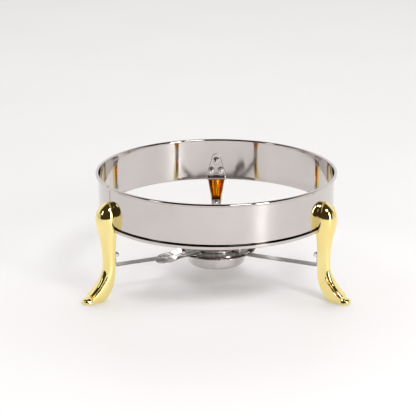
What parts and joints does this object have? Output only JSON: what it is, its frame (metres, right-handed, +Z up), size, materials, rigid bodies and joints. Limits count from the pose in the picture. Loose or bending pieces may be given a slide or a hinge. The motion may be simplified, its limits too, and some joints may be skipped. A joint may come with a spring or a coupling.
{
  "type": "round food warmer stand",
  "caption": "Round polished ring frame on three gold cast legs, with a lift-out fuel burner and swinging snuffer lid hung on strap arms below.",
  "frame": {"origin": "middle of the box's underside, on the surface the feet stand on", "axes": "+Z up along the ring's axis; +Y towards the rear leg; +X to the right seen from the front"},
  "size_m": [0.406, 0.4187, 0.1784],
  "materials": {
    "polished_steel": "mirror polished stainless steel",
    "gold_plate": "bright gold plate on a zinc casting",
    "plated_fastener": "bright plated steel",
    "satin_strap": "bright rolled strip",
    "pressed_steel": "bright pressed stainless steel",
    "gauze_steel": "perforated sheet, heat dulled",
    "wick_fibre": "packed mineral fibre"
  },
  "bodies": {
    "stand": {"ring_band": "polished_steel", "leg_left": "gold_plate", "leg_right": "gold_plate", "leg_rear": "gold_plate", "leg_backing_plate_left": "polished_steel", "leg_backing_plate_right": "polished_steel", "leg_backing_plate_rear": "polished_steel", "leg_studs_left": "plated_fastener", "leg_studs_right": "plated_fastener", "leg_studs_rear": "plated_fastener", "leg_dome_nuts_left": "plated_fastener", "leg_dome_nuts_right": "plated_fastener", "leg_dome_nuts_rear": "plated_fastener", "arm_left": "satin_strap", "arm_right": "satin_strap", "arm_rear": "satin_strap", "arm_stud_left": "plated_fastener", "arm_stud_right": "plated_fastener", "arm_stud_rear": "plated_fastener", "arm_dome_nut_left": "plated_fastener", "arm_dome_nut_right": "plated_fastener", "arm_dome_nut_rear": "plated_fastener", "burner_tray": "polished_steel", "tray_rivets": "plated_fastener"},
    "burner": {"burner_cup": "pressed_steel", "burner_top_plate": "pressed_steel", "burner_handle": "pressed_steel", "burner_handle_rivets": "plated_fastener", "wick_pad": "wick_fibre", "wick_gauze": "gauze_steel", "snuffer_pivot_spacer": "plated_fastener", "snuffer_pivot_rivet": "plated_fastener"},
    "snuffer": {"snuffer_lid": "pressed_steel", "snuffer_handle": "pressed_steel", "snuffer_handle_rivets": "plated_fastener"}
  },
  "joints": [
    {"name": "burner_lift", "type": "slide", "parent": "stand", "child": "burner", "axis": [0, 0, 1], "range_m": [0, 0.16]},
    {"name": "snuffer_swing", "type": "hinge", "parent": "burner", "child": "snuffer", "pos_m": [0.03507, -0.0431, 0.053], "axis": [0, 0, 1], "range_deg": [-100, 0]}
  ]
}
